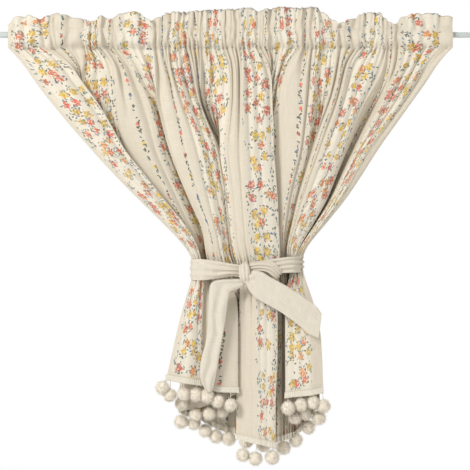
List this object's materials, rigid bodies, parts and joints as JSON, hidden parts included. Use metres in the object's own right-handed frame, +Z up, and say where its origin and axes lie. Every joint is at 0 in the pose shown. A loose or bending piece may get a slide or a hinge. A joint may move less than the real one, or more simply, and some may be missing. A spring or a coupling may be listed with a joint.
{
  "type": "tie-up window curtain on a tension rod",
  "caption": "Short curtain gathered on a thin spring tension rod, with a ruffled header, a knotted sash at the waist and layered flaps edged with pom-poms.",
  "frame": {"origin": "on the axis of the rod, half way between the faces of its two feet", "axes": "+X along the rod to the right as seen from the room, -Y towards the room, +Z up"},
  "size_m": [0.88, 0.0757, 0.7634],
  "materials": {
    "rod_enamel": "satin white enamel",
    "foot_rubber": "matte grey",
    "spring_steel": "drawn wire",
    "rod_plastic": "moulded white",
    "printed_cloth": "slubby cream cotton and linen with a small floral stripe",
    "sash_cloth": "plain slubby cream cotton and linen",
    "braid_cotton": "woven cotton braid",
    "pom_yarn": "clipped cotton yarn"
  },
  "bodies": {
    "outer_rod": {"outer_tube": "rod_enamel", "left_foot": "foot_rubber", "spring_stop": "rod_plastic", "compression_spring": "spring_steel"},
    "inner_rod": {"inner_tube": "rod_enamel", "right_foot": "foot_rubber", "sliding_plug": "rod_plastic"},
    "header": {"rod_pocket": "printed_cloth", "header_ruffle": "printed_cloth"},
    "drape": {"upper_drape": "printed_cloth", "flap_left": "printed_cloth", "flap_mid_left": "printed_cloth", "flap_centre": "printed_cloth", "flap_right": "printed_cloth", "flap_inner_left": "printed_cloth", "flap_inner_right": "printed_cloth", "flap_back_left": "printed_cloth", "flap_back_right": "printed_cloth", "braid_left": "braid_cotton", "braid_mid_left": "braid_cotton", "braid_centre": "braid_cotton", "braid_right": "braid_cotton", "braid_inner_left": "braid_cotton", "braid_inner_right": "braid_cotton", "braid_back_left": "braid_cotton", "braid_back_right": "braid_cotton", "sash_band": "sash_cloth", "sash_knot": "sash_cloth", "bow_loop": "sash_cloth"},
    "left_sash_tail": {"left_tail": "sash_cloth"},
    "right_sash_tail": {"right_tail": "sash_cloth"},
    "fringe_left": {"pom_pom_left_1": "pom_yarn", "pom_pom_left_2": "pom_yarn", "pom_pom_left_3": "pom_yarn", "pom_pom_left_4": "pom_yarn"},
    "fringe_mid_left": {"pom_pom_mid_left_1": "pom_yarn", "pom_pom_mid_left_2": "pom_yarn"},
    "fringe_centre": {"pom_pom_centre_1": "pom_yarn", "pom_pom_centre_2": "pom_yarn", "pom_pom_centre_3": "pom_yarn"},
    "fringe_right": {"pom_pom_right_1": "pom_yarn", "pom_pom_right_2": "pom_yarn", "pom_pom_right_3": "pom_yarn", "pom_pom_right_4": "pom_yarn"},
    "fringe_inner_left": {"pom_pom_inner_left_1": "pom_yarn", "pom_pom_inner_left_2": "pom_yarn"},
    "fringe_inner_right": {"pom_pom_inner_right_1": "pom_yarn", "pom_pom_inner_right_2": "pom_yarn", "pom_pom_inner_right_3": "pom_yarn"},
    "fringe_back_left": {"pom_pom_back_left_1": "pom_yarn", "pom_pom_back_left_2": "pom_yarn", "pom_pom_back_left_3": "pom_yarn", "pom_pom_back_left_4": "pom_yarn", "pom_pom_back_left_5": "pom_yarn"},
    "fringe_back_right": {"pom_pom_back_right_1": "pom_yarn", "pom_pom_back_right_2": "pom_yarn"}
  },
  "joints": [
    {"name": "rod_telescope", "type": "slide", "parent": "outer_rod", "child": "inner_rod", "axis": [1, 0, 0], "range_m": [-0.028, 0.022], "stiffness_N_per_m": 250, "deforming": ["compression_spring"]},
    {"name": "header_slide", "type": "slide", "parent": "outer_rod", "child": "header", "axis": [1, 0, 0], "range_m": [-0.045, 0.03]},
    {"name": "drape_swing", "type": "hinge", "parent": "header", "child": "drape", "pos_m": [0, 0, 0], "axis": [-1, 0, 0], "range_deg": [-15, 45]},
    {"name": "left_tail_lift", "type": "hinge", "parent": "drape", "child": "left_sash_tail", "pos_m": [0.0151, -0.0403, -0.4065], "axis": [-1, 0, 0], "range_deg": [0, 60]},
    {"name": "right_tail_lift", "type": "hinge", "parent": "drape", "child": "right_sash_tail", "pos_m": [0.0151, -0.0403, -0.3965], "axis": [-1, 0, 0], "range_deg": [0, 60]},
    {"name": "left_fringe_swing", "type": "hinge", "parent": "drape", "child": "fringe_left", "pos_m": [-0.08609, -0.022, -0.5868], "axis": [-0.9939, 0, 0.1107], "range_deg": [-8, 14]},
    {"name": "mid_left_fringe_swing", "type": "hinge", "parent": "drape", "child": "fringe_mid_left", "pos_m": [-0.02331, -0.022, -0.6013], "axis": [-0.9997, 0, 0.0229], "range_deg": [-8, 14]},
    {"name": "centre_fringe_swing", "type": "hinge", "parent": "drape", "child": "fringe_centre", "pos_m": [0.03838, -0.022, -0.6893], "axis": [-0.978, 0, 0.2086], "range_deg": [-8, 14]},
    {"name": "right_fringe_swing", "type": "hinge", "parent": "drape", "child": "fringe_right", "pos_m": [0.1185, -0.022, -0.6053], "axis": [-0.9997, 0, -0.0248], "range_deg": [-8, 14]},
    {"name": "inner_left_fringe_swing", "type": "hinge", "parent": "drape", "child": "fringe_inner_left", "pos_m": [-0.03055, 0, -0.6173], "axis": [-0.9998, 0, -0.0216], "range_deg": [-8, 14]},
    {"name": "inner_right_fringe_swing", "type": "hinge", "parent": "drape", "child": "fringe_inner_right", "pos_m": [0.11824, 0, -0.6243], "axis": [-0.9994, 0, -0.0344], "range_deg": [-8, 14]},
    {"name": "back_left_fringe_swing", "type": "hinge", "parent": "drape", "child": "fringe_back_left", "pos_m": [-0.04628, 0.022, -0.6543], "axis": [-0.9499, 0, 0.3125], "range_deg": [-8, 14]},
    {"name": "back_right_fringe_swing", "type": "hinge", "parent": "drape", "child": "fringe_back_right", "pos_m": [0.09228, 0.022, -0.6808], "axis": [-0.9997, 0, -0.0226], "range_deg": [-8, 14]}
  ]
}
